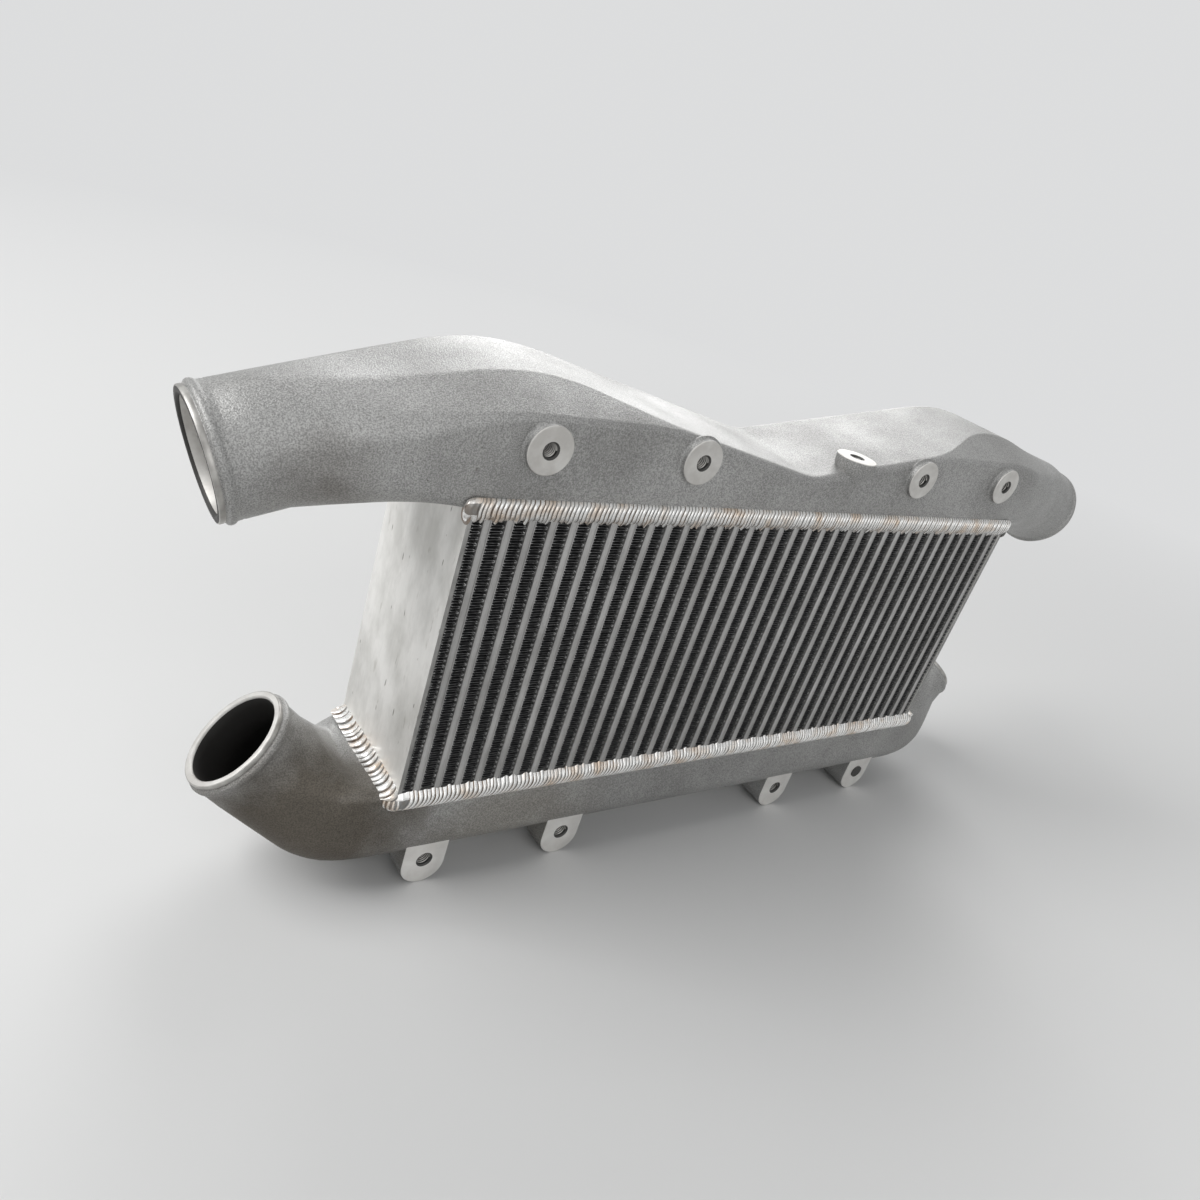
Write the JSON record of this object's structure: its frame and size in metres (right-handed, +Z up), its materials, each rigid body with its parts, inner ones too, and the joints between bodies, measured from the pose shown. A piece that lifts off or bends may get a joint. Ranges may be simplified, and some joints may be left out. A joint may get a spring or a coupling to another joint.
{
  "type": "intercooler",
  "caption": "Bar and plate intercooler: a finned core between cast aluminium end tanks with beaded hose necks, threaded bosses above and mounting lugs below. Cools charge air.",
  "frame": {"origin": "on the ground under the middle of the object, in the plane its lugs stand on", "axes": "+X along the core towards the tank end with the top boss nearer, +Y from the front face with the bosses to the rear face, +Z up from the lower tank to the upper tank"},
  "size_m": [0.7608, 0.103, 0.3352],
  "materials": {
    "casting": "sand cast, dull, warm grey",
    "plate": "rolled, scuffed",
    "bar": "machined flat, satin",
    "fin": "brazed, dark",
    "weld": "bright welded"
  },
  "bodies": {
    "root": {"charge_fins": "fin", "cooling_fin_01": "fin", "cooling_fin_02": "fin", "cooling_fin_03": "fin", "cooling_fin_04": "fin", "cooling_fin_05": "fin", "cooling_fin_06": "fin", "cooling_fin_07": "fin", "cooling_fin_08": "fin", "cooling_fin_09": "fin", "cooling_fin_10": "fin", "cooling_fin_11": "fin", "cooling_fin_12": "fin", "cooling_fin_13": "fin", "cooling_fin_14": "fin", "cooling_fin_15": "fin", "cooling_fin_16": "fin", "cooling_fin_17": "fin", "cooling_fin_18": "fin", "cooling_fin_19": "fin", "cooling_fin_20": "fin", "cooling_fin_21": "fin", "cooling_fin_22": "fin", "cooling_fin_23": "fin", "cooling_fin_24": "fin", "cooling_fin_25": "fin", "cooling_fin_26": "fin", "cooling_fin_27": "fin", "cooling_fin_28": "fin", "cooling_fin_29": "fin", "cooling_fin_30": "fin", "cooling_fin_31": "fin", "cooling_fin_32": "fin", "cooling_fin_33": "fin", "cooling_fin_34": "fin", "cooling_fin_35": "fin", "cooling_fin_36": "fin", "front_face_bars": "bar", "left_end_plate": "plate", "lower_front_weld": "weld", "lower_header_bars": "bar", "lower_left_weld": "weld", "lower_rear_weld": "weld", "lower_right_weld": "weld", "lower_tank": "casting", "parting_sheets": "bar", "rear_face_bars": "bar", "right_end_plate": "plate", "upper_front_weld": "weld", "upper_header_bars": "bar", "upper_rear_weld": "weld", "upper_tank": "casting"}
  },
  "joints": []
}
